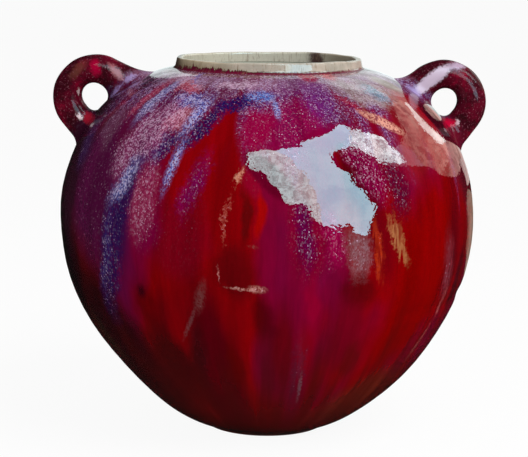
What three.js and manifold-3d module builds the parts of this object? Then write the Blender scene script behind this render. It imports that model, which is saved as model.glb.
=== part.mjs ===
// A wheel-thrown stoneware jar in the lebes form: a turnip-shaped body on a small turned foot ring,
// a short collar round the mouth, and two rolled clay loops luted to the shoulder as handles.
// Millimetres, +Z up. The origin is on the ground under the middle of the foot, and the handles
// stand on the X axis.

import * as THREE from "three";
import { mergeVertices } from "three/addons/utils/BufferGeometryUtils.js";
import Module from "manifold-3d";

// Foot ring
const FOOT_RADIUS = 43.5;
const FOOT_HEIGHT = 3;
const FOOT_BATTER = 1.5;
const FOOT_RIM_WIDTH = 8;
const FOOT_INNER_SLOPE = 2;
const FOOT_EDGE_ROUND = 0.8;

// Body wall, outside: one curve from the foot to the belly and one from the belly to the neck
const BELLY_RADIUS = 140;
const BELLY_HEIGHT = 140.5;
const FOOT_LEDGE = 0.6;
const LOWER_WALL_ANGLE = 15;
const LOWER_WALL_SPREAD = 33.5;
const LOWER_WALL_FULL_HEIGHT = 66;
const SHOULDER_FULL_HEIGHT = 93;
const SHOULDER_FLAT = 3;
const NECK_HEIGHT = 245.3;

// Body wall, thickness
const WALL_AT_FOOT = 9;
const WALL_AT_BELLY = 6.5;
const WALL_AT_NECK = 5;
const MOUTH_EDGE_ROUND = 3;

// Collar round the mouth
const MOUTH_RADIUS = 58;
const COLLAR_WALL = 5.1;
const COLLAR_TAPER = 1;
const COLLAR_HEIGHT = 7.2;
const LIP_ROUND = 1.3;

// Handle loops: a coil of clay bent round a circle, with two straight legs pressed on the shoulder
const HANDLE_SEAT = 0.41;
const LOOP_LIFT = 7.4;
const LOOP_RADIUS = 18.6;
const LOOP_UPPER_TURN = 95;
const LOOP_LOWER_TURN = 75;
const COIL_THICKNESS = 20;
const CROWN_THINNING = 1.4;
const COIL_WIDTH = 20.6;
const ROOT_FILLET = 7;
const NECK_SIDE_FILLET = 17;
const ROOT_BITE = 1.2;
const LEFT_HANDLE_RISE = 0.9;
const RIGHT_HANDLE_RISE = -0.9;

// The slip joint between a handle and the wall
const SLIP_GAP = 0.3;

// How finely the round forms are divided
const TURN_STEPS = 64;
const OUTSIDE_STEPS = 17;
const INSIDE_STEPS = 9;
const ROUND_STEPS = 4;
const COIL_SIDES = 20;
const LOOP_STEPS = 22;
const FILLET_STEPS = 6;
const FILLET_TENSION = 0.6;
const MARCH_STEP = 0.5;
const HALVINGS = 20;

const COLLAR_BASE_RADIUS = MOUTH_RADIUS + COLLAR_WALL;
const WALL_BASE_RADIUS = FOOT_RADIUS + FOOT_BATTER + FOOT_LEDGE;

const wasm = await Module();
wasm.setup();

// Materials, one for each finish on the jar
const flambeGlaze = new THREE.MeshStandardMaterial({ color: 0x7a0a1c, roughness: 0.12, metalness: 0 });
const handleGlaze = new THREE.MeshStandardMaterial({ color: 0x4e0712, roughness: 0.12, metalness: 0 });
const rimGlaze = new THREE.MeshStandardMaterial({ color: 0xc4c0ab, roughness: 0.2, metalness: 0 });
const bareClay = new THREE.MeshStandardMaterial({ color: 0x4a3024, roughness: 0.8, metalness: 0 });

// The outside of the wall as two curves in the (radius, height) plane.
function wallCurves() {
  const angle = THREE.MathUtils.degToRad(LOWER_WALL_ANGLE);
  const base = new THREE.Vector2(WALL_BASE_RADIUS, FOOT_HEIGHT);
  const belly = new THREE.Vector2(BELLY_RADIUS, BELLY_HEIGHT);
  const neck = new THREE.Vector2(COLLAR_BASE_RADIUS, NECK_HEIGHT);
  const lower = new THREE.CubicBezierCurve(
    base,
    new THREE.Vector2(
      base.x + LOWER_WALL_SPREAD * Math.cos(angle),
      base.y + LOWER_WALL_SPREAD * Math.sin(angle),
    ),
    new THREE.Vector2(belly.x, belly.y - LOWER_WALL_FULL_HEIGHT),
    belly,
  );
  const upper = new THREE.CubicBezierCurve(
    belly,
    new THREE.Vector2(belly.x, belly.y + SHOULDER_FULL_HEIGHT),
    new THREE.Vector2(neck.x + SHOULDER_FLAT, neck.y),
    neck,
  );
  return { lower, upper };
}

// The outward normal of a wall curve at t. The curves run upwards, so it is the tangent turned clockwise.
function wallNormal(curve, t) {
  const tangent = curve.getTangent(t);
  return new THREE.Vector2(tangent.y, -tangent.x);
}

// Points along the wall from the foot to the neck, each moved outwards by offset(share of the way up).
function wallLine(offset, steps) {
  const { lower, upper } = wallCurves();
  const points = [];
  const add = (curve, t, share) => {
    const normal = wallNormal(curve, t);
    points.push(curve.getPoint(t).addScaledVector(normal, offset(share)));
  };
  for (let i = 0; i <= steps; i += 1) {
    add(lower, i / steps, i / steps - 1);
  }
  for (let i = 1; i <= steps; i += 1) {
    add(upper, i / steps, i / steps);
  }
  return points;
}

// How thick the wall is: share is -1 at the foot, 0 at the belly and 1 at the neck.
function wallThickness(share) {
  const end = share < 0 ? WALL_AT_FOOT : WALL_AT_NECK;
  return WALL_AT_BELLY + (end - WALL_AT_BELLY) * Math.abs(share);
}

// A quarter turn of an arc from angle a to angle b, in degrees, both ends included.
function arc(x, y, radius, a, b) {
  const points = [];
  for (let i = 0; i <= ROUND_STEPS; i += 1) {
    const angle = THREE.MathUtils.degToRad(a + ((b - a) * i) / ROUND_STEPS);
    points.push(new THREE.Vector2(x + radius * Math.cos(angle), y + radius * Math.sin(angle)));
  }
  return points;
}

// A profile in (radius, height) turned round the Z axis.
function turned(profile) {
  return new THREE.LatheGeometry(profile, TURN_STEPS).rotateX(Math.PI / 2);
}

// The hollow body: up the outside, over the seat of the collar, and down the inside to the floor.
function bodyGeometry() {
  const outside = wallLine(() => 0, OUTSIDE_STEPS);
  const inside = wallLine((share) => -wallThickness(share), INSIDE_STEPS).reverse();
  const ceiling = inside[0].y;
  const floor = inside[inside.length - 1].y;
  const edgeRadius = MOUTH_RADIUS + MOUTH_EDGE_ROUND;
  const rounded = arc(edgeRadius, ceiling + MOUTH_EDGE_ROUND, MOUTH_EDGE_ROUND, 180, 270);
  const profile = [
    new THREE.Vector2(0, FOOT_HEIGHT),
    ...outside,
    new THREE.Vector2(MOUTH_RADIUS, NECK_HEIGHT),
    ...rounded,
    ...inside,
    new THREE.Vector2(0, floor),
  ];
  return turned(profile);
}

// The collar: a short band, narrower at its lip, with both edges of the lip rounded.
function collarGeometry() {
  const top = NECK_HEIGHT + COLLAR_HEIGHT;
  const lipRadius = COLLAR_BASE_RADIUS - COLLAR_TAPER;
  const profile = [
    new THREE.Vector2(MOUTH_RADIUS, NECK_HEIGHT),
    new THREE.Vector2(COLLAR_BASE_RADIUS, NECK_HEIGHT),
    ...arc(lipRadius - LIP_ROUND, top - LIP_ROUND, LIP_ROUND, 0, 90),
    ...arc(MOUTH_RADIUS + LIP_ROUND, top - LIP_ROUND, LIP_ROUND, 90, 180),
    new THREE.Vector2(MOUTH_RADIUS, NECK_HEIGHT),
  ];
  return turned(profile);
}

// The foot ring: a flat standing face, a battered outside, and a sloped inside that the turning tool left.
function footGeometry() {
  const innerRadius = FOOT_RADIUS - FOOT_RIM_WIDTH;
  const profile = [
    new THREE.Vector2(innerRadius, 0),
    ...arc(FOOT_RADIUS - FOOT_EDGE_ROUND, FOOT_EDGE_ROUND, FOOT_EDGE_ROUND, -90, 0),
    new THREE.Vector2(FOOT_RADIUS + FOOT_BATTER, FOOT_HEIGHT),
    new THREE.Vector2(innerRadius - FOOT_INNER_SLOPE, FOOT_HEIGHT),
    new THREE.Vector2(innerRadius, 0),
  ];
  return turned(profile);
}

// Where a point stands over the outside of the wall: its height, negative inside, and the wall's normal.
function overWall(line, point) {
  const radius = Math.hypot(point.x, point.y);
  let nearest = Infinity;
  let found = null;
  for (let i = 0; i + 1 < line.length; i += 1) {
    const a = line[i];
    const dx = line[i + 1].x - a.x;
    const dy = line[i + 1].y - a.y;
    const length = Math.hypot(dx, dy);
    const share = ((radius - a.x) * dx + (point.z - a.y) * dy) / (length * length);
    const kept = THREE.MathUtils.clamp(share, 0, 1);
    const offX = radius - a.x - kept * dx;
    const offY = point.z - a.y - kept * dy;
    const distance = Math.hypot(offX, offY);
    if (distance < nearest) {
      nearest = distance;
      const outward = (offX * dy - offY * dx) / length;
      found = { height: Math.sign(outward) * distance, outR: dy / length, outZ: -dx / length };
    }
  }
  const normal = new THREE.Vector3(
    (found.outR * point.x) / radius,
    (found.outR * point.y) / radius,
    found.outZ,
  );
  return { height: found.height, normal };
}

// The loop that the middle of a handle's coil follows, in the XZ plane: two legs that run down to the
// wall from the ends of an arc. at(d) gives the place d millimetres along the arc, before it on the
// upper leg or past it on the lower one, and the direction there that points away from the finger hole.
function handleLoop(rise) {
  const { upper } = wallCurves();
  const normal = wallNormal(upper, HANDLE_SEAT);
  const seat = upper.getPoint(HANDLE_SEAT);
  const centre = seat.addScaledVector(normal, LOOP_LIFT).add(new THREE.Vector2(0, rise));
  const from = normal.angle() + THREE.MathUtils.degToRad(LOOP_UPPER_TURN);
  const length = LOOP_RADIUS * THREE.MathUtils.degToRad(LOOP_UPPER_TURN + LOOP_LOWER_TURN);
  const at = (d) => {
    const onArc = THREE.MathUtils.clamp(d, 0, length);
    const angle = from - onArc / LOOP_RADIUS;
    const past = d - onArc;
    const out = new THREE.Vector3(Math.cos(angle), 0, Math.sin(angle));
    const along = new THREE.Vector3(Math.sin(angle), 0, -Math.cos(angle));
    const place = new THREE.Vector3(centre.x, 0, centre.y)
      .addScaledVector(out, LOOP_RADIUS)
      .addScaledVector(along, past);
    return { place, out };
  };
  return { at, length };
}

// The point at distance d along the coil's skin, on the side that faces angle: 0 faces away from the
// finger hole and half a turn faces into it. The coil is thinnest over its crown.
function onCoil(loop, angle, d) {
  const { place, out } = loop.at(d);
  const share = THREE.MathUtils.clamp(d / loop.length, 0, 1);
  const half = (COIL_THICKNESS - CROWN_THINNING * Math.sin(Math.PI * share) ** 2) / 2;
  const reach = 1 / Math.hypot(Math.cos(angle) / half, Math.sin(angle) / (COIL_WIDTH / 2));
  const point = place.addScaledVector(out, Math.cos(angle) * reach);
  point.y += Math.sin(angle) * reach;
  return point;
}

// The distance along the coil, going from its crown by step, at which one side comes down to a height.
function whereItComesDown(loop, line, angle, step, height) {
  const high = (d) => overWall(line, onCoil(loop, angle, d)).height > height;
  let far = loop.length / 2;
  while (high(far)) {
    far += step;
  }
  let near = far - step;
  for (let n = 0; n < HALVINGS; n += 1) {
    const middle = (near + far) / 2;
    if (high(middle)) {
      near = middle;
    } else {
      far = middle;
    }
  }
  return far;
}

// The fillet at one end of one side: a curve that leaves the coil along its skin, turns outwards and
// runs a little way into the wall. step is the way along the coil that leads to this end.
function filletCurve(loop, line, angle, step, size) {
  const start = whereItComesDown(loop, line, angle, step, size);
  const from = onCoil(loop, angle, start);
  const down = whereItComesDown(loop, line, angle, step, 0);
  const foot = onCoil(loop, angle, down);
  const away = foot.clone().sub(loop.at(down).place);
  const { normal } = overWall(line, foot);
  away.addScaledVector(normal, -away.dot(normal)).normalize();
  const end = foot.clone().addScaledVector(away, size);
  const landing = overWall(line, end);
  end.addScaledVector(landing.normal, -landing.height - ROOT_BITE);
  const leaving = onCoil(loop, angle, start + step).sub(from).normalize();
  const reach = FILLET_TENSION * from.distanceTo(foot);
  const curve = new THREE.CubicBezierCurve3(
    from,
    from.clone().addScaledVector(leaving, reach),
    end.clone().lerp(foot, FILLET_TENSION),
    end,
  );
  return { start, points: curve.getPoints(FILLET_STEPS) };
}

// One line along the whole handle on one side of the coil, from the upper root to the lower one.
function coilLine(loop, line, angle) {
  const neckSide = Math.max(Math.cos(angle), 0) ** 2;
  const upperSize = THREE.MathUtils.lerp(ROOT_FILLET, NECK_SIDE_FILLET, neckSide);
  const upper = filletCurve(loop, line, angle, -MARCH_STEP, upperSize);
  const lower = filletCurve(loop, line, angle, MARCH_STEP, ROOT_FILLET);
  const between = [];
  for (let i = 1; i < LOOP_STEPS; i += 1) {
    between.push(onCoil(loop, angle, THREE.MathUtils.lerp(upper.start, lower.start, i / LOOP_STEPS)));
  }
  return [...upper.points.reverse(), ...between, ...lower.points];
}

// A closed skin over a row of rings, with a flat cap at each end.
function skinned(rings) {
  const sides = rings[0].length;
  const positions = [];
  const index = [];
  for (const ring of rings) {
    for (const p of ring) {
      positions.push(p.x, p.y, p.z);
    }
  }
  for (let r = 0; r + 1 < rings.length; r += 1) {
    for (let i = 0; i < sides; i += 1) {
      const a = r * sides + i;
      const b = r * sides + ((i + 1) % sides);
      index.push(a, a + sides, b, b, a + sides, b + sides);
    }
  }
  const last = (rings.length - 1) * sides;
  for (let i = 1; i + 1 < sides; i += 1) {
    index.push(0, i, i + 1);
    index.push(last, last + i + 1, last + i);
  }
  const geometry = new THREE.BufferGeometry();
  geometry.setAttribute("position", new THREE.Float32BufferAttribute(positions, 3));
  geometry.setIndex(index);
  return geometry;
}

// A geometry as a manifold-3d solid.
function solidOf(geometry) {
  const bare = geometry.clone();
  bare.deleteAttribute("normal");
  bare.deleteAttribute("uv");
  const merged = mergeVertices(bare, 1e-4);
  return new wasm.Manifold(
    new wasm.Mesh({
      numProp: 3,
      vertProperties: merged.attributes.position.array,
      triVerts: new Uint32Array(merged.index.array),
    }),
  );
}

// A manifold-3d solid as a geometry.
function geometryOf(solid) {
  const mesh = solid.getMesh();
  const geometry = new THREE.BufferGeometry();
  geometry.setAttribute("position", new THREE.BufferAttribute(mesh.vertProperties, mesh.numProp));
  geometry.setIndex(new THREE.BufferAttribute(mesh.triVerts, 1));
  geometry.computeVertexNormals();
  return geometry;
}

// Everything inside the wall's outer face, grown by the slip joint: what a handle's roots are cut back to.
function wallCutter() {
  const line = wallLine(() => SLIP_GAP, OUTSIDE_STEPS);
  const top = line[line.length - 1].y;
  return solidOf(turned([new THREE.Vector2(0, line[0].y), ...line, new THREE.Vector2(0, top)]));
}

// A handle: a coil lofted round its loop, flared where it is pressed on, and cut to sit on the wall.
function handleGeometry(rise) {
  const line = wallLine(() => 0, OUTSIDE_STEPS);
  const loop = handleLoop(rise);
  const lines = [];
  for (let i = 0; i < COIL_SIDES; i += 1) {
    lines.push(coilLine(loop, line, (2 * Math.PI * i) / COIL_SIDES));
  }
  const rings = lines[0].map((_, k) => lines.map((points) => points[k]));
  return geometryOf(solidOf(skinned(rings)).subtract(wallCutter()));
}

function piece(name, geometry, material, turn = 0) {
  const mesh = new THREE.Mesh(geometry, material);
  mesh.name = name;
  mesh.rotation.z = turn;
  return mesh;
}

const jar = new THREE.Group();
jar.add(piece("body", bodyGeometry(), flambeGlaze));
jar.add(piece("neck_collar", collarGeometry(), rimGlaze));
jar.add(piece("foot_ring", footGeometry(), bareClay));
jar.add(piece("right_handle", handleGeometry(RIGHT_HANDLE_RISE), handleGlaze));
jar.add(piece("left_handle", handleGeometry(LEFT_HANDLE_RISE), handleGlaze, Math.PI));

export default jar;
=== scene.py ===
"""A lebes dressed for its photograph: a thrown stoneware vessel under a flambe glaze, with two loop handles.

Lengths are metres and heights are over the ground. Azimuths are degrees round the throwing axis: 0 faces the
photograph's camera and 90 is the side of the right handle.
"""
import math
from typing import NamedTuple

import bmesh
import bpy
import numpy as np
from mathutils import Matrix, Vector, noise


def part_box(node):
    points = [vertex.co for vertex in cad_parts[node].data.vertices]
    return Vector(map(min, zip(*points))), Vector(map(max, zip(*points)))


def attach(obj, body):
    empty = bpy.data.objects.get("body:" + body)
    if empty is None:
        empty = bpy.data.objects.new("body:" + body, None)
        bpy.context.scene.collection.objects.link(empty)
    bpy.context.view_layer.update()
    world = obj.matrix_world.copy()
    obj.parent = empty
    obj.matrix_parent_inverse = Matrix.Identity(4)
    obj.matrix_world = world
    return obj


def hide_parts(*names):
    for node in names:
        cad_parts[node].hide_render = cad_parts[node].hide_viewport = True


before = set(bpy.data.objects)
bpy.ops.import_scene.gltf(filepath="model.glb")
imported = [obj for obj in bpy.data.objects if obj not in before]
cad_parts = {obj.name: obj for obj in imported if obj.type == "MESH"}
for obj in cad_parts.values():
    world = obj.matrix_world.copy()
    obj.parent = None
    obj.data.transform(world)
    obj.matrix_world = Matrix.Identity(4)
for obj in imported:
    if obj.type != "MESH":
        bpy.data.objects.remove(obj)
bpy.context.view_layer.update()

MM = 0.001

# Sizes that the frame gives
BODY_LOW, BODY_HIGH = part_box("body")
BELLY_RADIUS = BODY_HIGH.x
NECK_HEIGHT = BODY_HIGH.z
FOOT_HEIGHT = BODY_LOW.z
COLLAR_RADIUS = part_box("neck_collar")[1].x
LIP_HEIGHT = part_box("neck_collar")[1].z
RING_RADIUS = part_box("foot_ring")[1].x

# The wall's curve, as the part's source has it
BELLY_HEIGHT = 140.5 * MM
FOOT_LEDGE = 0.2 * MM
LOWER_WALL_ANGLE = math.radians(15)
LOWER_WALL_SPREAD = 33.5 * MM
LOWER_WALL_FULL_HEIGHT = 66 * MM
SHOULDER_FULL_HEIGHT = 93 * MM
SHOULDER_FLAT = 3 * MM
WALL_AT_FOOT = 9 * MM
WALL_AT_BELLY = 6.5 * MM
WALL_AT_NECK = 5 * MM
MOUTH_RADIUS = 58 * MM
MOUTH_EDGE_ROUND = 3 * MM

# Collar and foot ring
COLLAR_TAPER = 1 * MM
LIP_ROUND = 1.3 * MM
LIP_WAVE = 0.25 * MM
COLLAR_GLAZE_FILLET = 2.4 * MM
RING_BATTER = 4 * MM
RING_WIDTH = 4.5 * MM
RING_INNER_SLOPE = 2 * MM
RING_EDGE_ROUND = 0.8 * MM
RING_BITE = 0.1 * MM

# Handles
HANDLE_SEAT = 0.41
LOOP_LIFT = 7.4 * MM
LOOP_RADIUS = 18.6 * MM
LOOP_UPPER_TURN = math.radians(95)
LOOP_LOWER_TURN = math.radians(82)
COIL_THICKNESS = 20 * MM
CROWN_THINNING = 1.4 * MM
COIL_WIDTH = 20.6 * MM
ROOT_FILLET = 7 * MM
LOWER_OUTER_FILLET = 4.5 * MM
ROOT_BITE = 0.9 * MM
FILLET_TENSION = 0.6
LEFT_HANDLE_RISE = 0.9 * MM
LEFT_HANDLE_REACH = -0.8 * MM
LEFT_NECK_SIDE_FILLET = 20 * MM
RIGHT_HANDLE_RISE = -0.4 * MM
RIGHT_HANDLE_REACH = 0.4 * MM
RIGHT_NECK_SIDE_FILLET = 12 * MM
HAND_ROLLED_DEPTH = 0.45 * MM
HAND_ROLLED_SCALE = 60

# What the potter's fingers left on the wall. A place is a height, and a reach above and below it.
THROWING_RING_DEPTH = 0.03 * MM
THROWING_RING_PITCH = 10 * MM
THROWING_RING_SKEW = 1.4
THROWING_SWAY = 0.35 * MM
SWAY_START = 0.7
SWAY_TWIST = 23
SWAY_CHANGE = 41
THROWING_FADE = 25 * MM
LEFT_SWELL = 1.5 * MM
LEFT_SWELL_PLACE = (158 * MM, 36 * MM)
LOW_SWELL = 0.6 * MM
LOW_SWELL_PLACE = (100 * MM, 50 * MM)
LOW_LEAN = 1.0 * MM
LOW_LEAN_PLACE = (40 * MM, 36 * MM)
RIGHT_DENT = 0.9 * MM
RIGHT_DENT_PLACE = (97 * MM, 8 * MM)

# How finely the pieces are divided
TURN_STEPS = 288
WALL_STEPS = 110
INSIDE_STEPS = 40
ROUND_STEPS = 8
COIL_SIDES = 56
LOOP_STEPS = 76
FILLET_STEPS = 14
CORNER_ANGLE = math.radians(12)
MARCH_STEP = 0.5 * MM
HALVINGS = 18
ON_AXIS = 1e-9

# How deep a run reaches through the wall, and how high the glaze's dimples are
RUN_DEPTH = 20 * MM
GLAZE_RELIEF = 0.05 * MM

# The flambe glaze's patterns, in spots to a metre
POOL_SCALE = 17
RUN_SCALE = 70
STREAK_SCALE = 420
GRAIN_SCALE = 1050
CELL_SCALE = 1150
FLECK_SCALE = 1180

# How far edges stray, sideways, in depth and in height
WANDER = (18 * MM, 18 * MM, 30 * MM)
BROKEN_EDGE = (10 * MM, 10 * MM, 14 * MM)
SOFT_EDGE = (11 * MM, 11 * MM, 14 * MM)
CRUMBLED_EDGE = (3 * MM, 3 * MM, 3 * MM)
HANDLE_EDGE = (6 * MM, 6 * MM, 6 * MM)
SPLASH_EDGE = (8 * MM, 8 * MM, 8 * MM)
DRIP_LENGTH = 30 * MM

# Bands of the wall between two heights, and how far their edges sway
SHOULDER_HAZE = (190 * MM, 236 * MM)
# Painted shade: the wall darkens between these heights, most at the foot.
PAINTED_LOW_SHADE = (105 * MM, 0)
WALL_SWAY = 160 * MM
NECK_BLOOM = (235 * MM, 240.5 * MM)
NECK_SWAY = 12 * MM
COLLAR_LINE = (243 * MM, 244 * MM)
COLLAR_SWAY = 6 * MM

# Where the handles take the wall's runs, by degrees and millimetres, and where their own glaze begins
ROOT_AZIMUTH = 44
ROOT_HEIGHT = 180
COIL_GLAZE_LIFT = (1.5 * MM, 8 * MM)
COIL_GLAZE_SWAY = 12 * MM
TO_CAMERA = Vector((0, -1, 0))

# The dark splash inside the collar
SPLASH_ENDS = (Vector((30, 49, 252)) * MM, Vector((36, 45, 243)) * MM)
SPLASH_FACING = Vector((-0.5, -1, 0))
SPLASH_HALF_WIDTH = 9 * MM
SPLASH_DEPTH = 14 * MM

# The studio, and the dark room that only reflections see
FLOOR_SIZE = 80
FLOOR_GLOW = 0.93
PAPER_COLOUR = (240, 240, 240)
FILL_STRENGTH = 0.42
DARK_ROOM_COLOUR = (0.010, 0.008, 0.007)
ROOM_GROUND = 0.4 * MM
ROOM_RADIUS = 2.6
ROOM_EAVES = 2.2
ROOM_TOP = 2.6
ROOM_STEPS = 48
WHITE = (1, 1, 1, 1)
STUDIO_MIDDLE = Vector((0, 0, 0.15))
SKY_AZIMUTH = 45
SKY_ELEVATION = 38
SKY_DISTANCE = 1.2

# The camera, as the photograph was taken
PHOTO_WIDTH = 528
FOCAL_PIXELS = 1777
SENSOR_WIDTH = 36
CAMERA_PLACE = Vector((0, -1.2, 0.3316))
CAMERA_PITCH = math.radians(-9.3)
CAMERA_YAW = math.radians(0.104)
CAMERA_ROLL = math.radians(0.573)


def make_camera():
    data = bpy.data.cameras.new("camera")
    data.sensor_width = SENSOR_WIDTH
    data.lens = SENSOR_WIDTH * FOCAL_PIXELS / PHOTO_WIDTH
    data.clip_start = 0.05
    data.clip_end = 50
    camera = bpy.data.objects.new("camera", data)
    level = Matrix.Rotation(math.radians(90) + CAMERA_PITCH, 4, "X")
    turned = Matrix.Rotation(CAMERA_YAW, 4, "Z") @ level @ Matrix.Rotation(CAMERA_ROLL, 4, "Z")
    camera.matrix_world = Matrix.Translation(CAMERA_PLACE) @ turned
    bpy.context.scene.collection.objects.link(camera)
    bpy.context.scene.camera = camera


# Curves and surfaces


def smooth_share(value, low, high):
    """0 below low, 1 above high, and an even curve between them."""
    share = np.clip((value - low) / (high - low), 0, 1)
    return share * share * (3 - 2 * share)


def bezier(a, b, c, d, steps):
    t = np.linspace(0, 1, steps + 1)[:, None]
    a, b, c, d = (np.asarray(point, float) for point in (a, b, c, d))
    return (1 - t) ** 3 * a + 3 * (1 - t) ** 2 * t * b + 3 * (1 - t) * t**2 * c + t**3 * d


def arc(centre_x, centre_y, radius, start, end):
    angles = np.radians(np.linspace(start, end, ROUND_STEPS + 1))
    return np.stack([centre_x + radius * np.cos(angles), centre_y + radius * np.sin(angles)], 1)


def outward_normals(line):
    """Normals of a (radius, height) line, to the right of the way that it runs."""
    along = np.gradient(line, axis=0)
    along /= np.linalg.norm(along, axis=1)[:, None]
    return np.stack([along[:, 1], -along[:, 0]], 1)


def wall_line(steps):
    """The outside of the wall from the foot to the neck, as (radius, height)."""
    base = np.array([RING_RADIUS + FOOT_LEDGE, FOOT_HEIGHT])
    belly = np.array([BELLY_RADIUS, BELLY_HEIGHT])
    neck = np.array([COLLAR_RADIUS, NECK_HEIGHT])
    spread = LOWER_WALL_SPREAD * np.array([math.cos(LOWER_WALL_ANGLE), math.sin(LOWER_WALL_ANGLE)])
    lower = bezier(base, base + spread, belly - [0, LOWER_WALL_FULL_HEIGHT], belly, steps)
    upper = bezier(belly, belly + [0, SHOULDER_FULL_HEIGHT], neck + [SHOULDER_FLAT, 0], neck, steps)
    return np.vstack([lower, upper[1:]])


WALL = wall_line(WALL_STEPS)
WALL_NORMALS = outward_normals(WALL)


def wall_radius(height):
    return float(np.interp(height, WALL[:, 1], WALL[:, 0]))


def hump(height, middle, reach):
    """1 at the middle height, falling softly to 0 at the reach above and below it."""
    return np.cos(np.clip((height - middle) / reach, -1, 1) * np.pi / 2) ** 2


def thrown_offset(azimuth, height):
    """How far the wall stands off true where the potter's fingers passed."""
    to_right = np.sin(azimuth)
    turn = 2 * np.pi * height / THROWING_RING_PITCH
    rings = THROWING_RING_DEPTH * np.sin(turn + THROWING_RING_SKEW * to_right)
    sway = THROWING_SWAY * np.sin(2 * azimuth + SWAY_START + SWAY_TWIST * height)
    sway = sway * np.sin(SWAY_CHANGE * height + azimuth)
    swell = LEFT_SWELL * hump(height, *LEFT_SWELL_PLACE) + LOW_SWELL * hump(height, *LOW_SWELL_PLACE)
    swell = swell * np.maximum(-to_right, 0)
    lean = LOW_LEAN * to_right * hump(height, *LOW_LEAN_PLACE)
    dent = RIGHT_DENT * np.maximum(to_right, 0) ** 3 * hump(height, *RIGHT_DENT_PLACE)
    low_end = smooth_share(height, FOOT_HEIGHT, FOOT_HEIGHT + THROWING_FADE)
    high_end = 1 - smooth_share(height, NECK_HEIGHT - THROWING_FADE, NECK_HEIGHT - 2 * MM)
    return (rings + sway + swell + lean - dent - THROWING_SWAY) * low_end * high_end


def next_ones(count):
    """Each number of a closed ring with the one after it."""
    return [(j, (j + 1) % count) for j in range(count)]


def make_mesh(name, vertices, faces, material, smooth=True):
    mesh = bpy.data.meshes.new(name)
    mesh.from_pydata([tuple(v) for v in vertices], [], [tuple(f) for f in faces])
    mesh.polygons.foreach_set("use_smooth", [smooth] * len(mesh.polygons))
    mesh.materials.append(material)
    piece = bpy.data.objects.new(name, mesh)
    bpy.context.scene.collection.objects.link(piece)
    return piece


def turned(name, profile, material, offset=None):
    """A closed (radius, height) profile turned round the throwing axis. A point on the axis makes a pole."""
    angles = np.linspace(0, 2 * np.pi, TURN_STEPS, endpoint=False)
    azimuths = angles + np.pi / 2
    vertices = []
    starts = []
    for k, (radius, height) in enumerate(profile):
        starts.append(len(vertices))
        if radius < ON_AXIS:
            vertices.append((0, 0, height))
            continue
        shift = offset(k, azimuths) if offset else np.zeros((2, TURN_STEPS))
        ring_radius = radius + shift[0]
        ring_height = height + shift[1] + 0 * angles
        ring = np.stack([ring_radius * np.cos(angles), ring_radius * np.sin(angles), ring_height], 1)
        vertices.extend(ring)
    faces = []
    for k, after in next_ones(len(profile)):
        a_pole = profile[k][0] < ON_AXIS
        b_pole = profile[after][0] < ON_AXIS
        if a_pole and b_pole:
            continue
        a, b = starts[k], starts[after]
        for j, m in next_ones(TURN_STEPS):
            if a_pole:
                faces.append((a, b + m, b + j))
            elif b_pole:
                faces.append((a + j, a + m, b))
            else:
                faces.append((a + j, a + m, b + m, b + j))
    piece = make_mesh(name, vertices, faces, material)
    piece.data.set_sharp_from_angle(angle=CORNER_ANGLE)
    return piece


def stand_for(piece, node):
    """Makes a piece stand in the scene for one CAD node."""
    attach(piece, "root")
    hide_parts(node)


# Turned pieces


def make_body(glaze, inside_glaze):
    """The hollow wall. Its inside and the seat of the collar carry the pale glaze."""
    inside_share = np.linspace(-1, 1, 2 * INSIDE_STEPS + 1)
    inside_line = wall_line(INSIDE_STEPS)
    ends = np.where(inside_share < 0, WALL_AT_FOOT, WALL_AT_NECK)
    thickness = WALL_AT_BELLY + (ends - WALL_AT_BELLY) * np.abs(inside_share)
    inside = (inside_line - outward_normals(inside_line) * thickness[:, None])[::-1]
    edge_radius = MOUTH_RADIUS + MOUTH_EDGE_ROUND
    edge = arc(edge_radius, inside[0, 1] + MOUTH_EDGE_ROUND, MOUTH_EDGE_ROUND, 180, 270)
    profile = np.vstack(
        [[(0, FOOT_HEIGHT)], WALL, [(MOUTH_RADIUS, NECK_HEIGHT)], edge, inside, [(0, inside[-1, 1])]]
    )

    def offset(k, azimuths):
        on_wall = k - 1
        if not 0 <= on_wall < len(WALL):
            return np.zeros((2, len(azimuths)))
        return np.outer(WALL_NORMALS[on_wall], thrown_offset(azimuths, WALL[on_wall, 1]))

    body = turned("body_wall", profile, glaze, offset)
    body.data.materials.append(inside_glaze)
    outside_rows = len(WALL)
    for index, face in enumerate(body.data.polygons):
        face.material_index = int(index // TURN_STEPS > outside_rows)
    stand_for(body, "body")


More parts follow.
